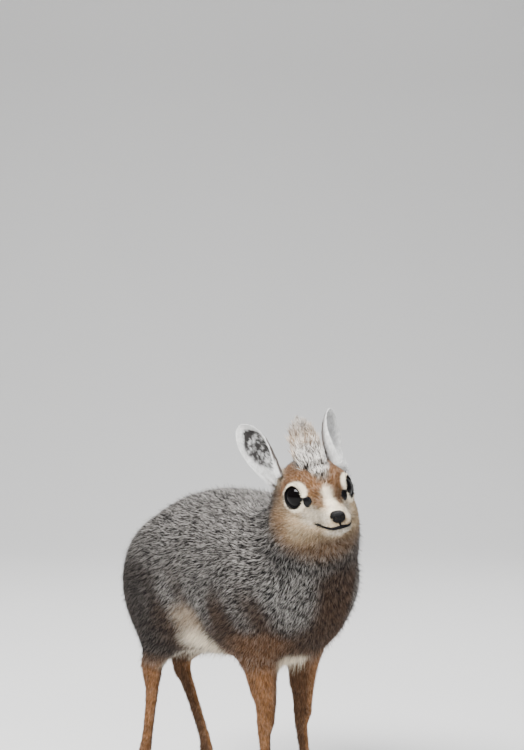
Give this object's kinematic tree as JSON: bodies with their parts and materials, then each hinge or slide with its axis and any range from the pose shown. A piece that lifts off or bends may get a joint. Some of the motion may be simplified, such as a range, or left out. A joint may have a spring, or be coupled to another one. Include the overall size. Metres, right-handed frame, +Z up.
{
  "type": "dik-dik",
  "caption": "Young dik-dik standing still on four thin legs with its head turned and ears raised, a museum-like model of a tiny antelope.",
  "frame": {"origin": "on the ground, under the middle of the animal's whole outline", "axes": "+X is where the trunk faces, +Y is the animal's left, +Z is up"},
  "size_m": [0.2946, 0.1304, 0.3559],
  "materials": {
    "grizzled_coat": "short grizzled gray-brown hair",
    "tan_coat": "short tan hair",
    "face_coat": "very short rufous and cream hair",
    "ear_skin": "thin skin with fine pale hair",
    "tuft_hair": "longer grizzled hair standing up",
    "eye": "wet and dark",
    "nose_pad": "bare moist skin",
    "hoof": "dark smooth horn"
  },
  "bodies": {
    "root": {"torso": "grizzled_coat", "neck": "grizzled_coat", "head": "face_coat", "tail": "tan_coat", "foreleg_left": "tan_coat", "foreleg_right": "tan_coat", "hindleg_left": "tan_coat", "hindleg_right": "tan_coat", "ear_left": "ear_skin", "ear_right": "ear_skin", "eye_left": "eye", "eye_right": "eye", "nose": "nose_pad", "tuft": "tuft_hair", "hoof_fore_left_outer": "hoof", "hoof_fore_left_inner": "hoof", "hoof_fore_right_outer": "hoof", "hoof_fore_right_inner": "hoof", "hoof_hind_left_outer": "hoof", "hoof_hind_left_inner": "hoof", "hoof_hind_right_outer": "hoof", "hoof_hind_right_inner": "hoof"}
  },
  "joints": []
}
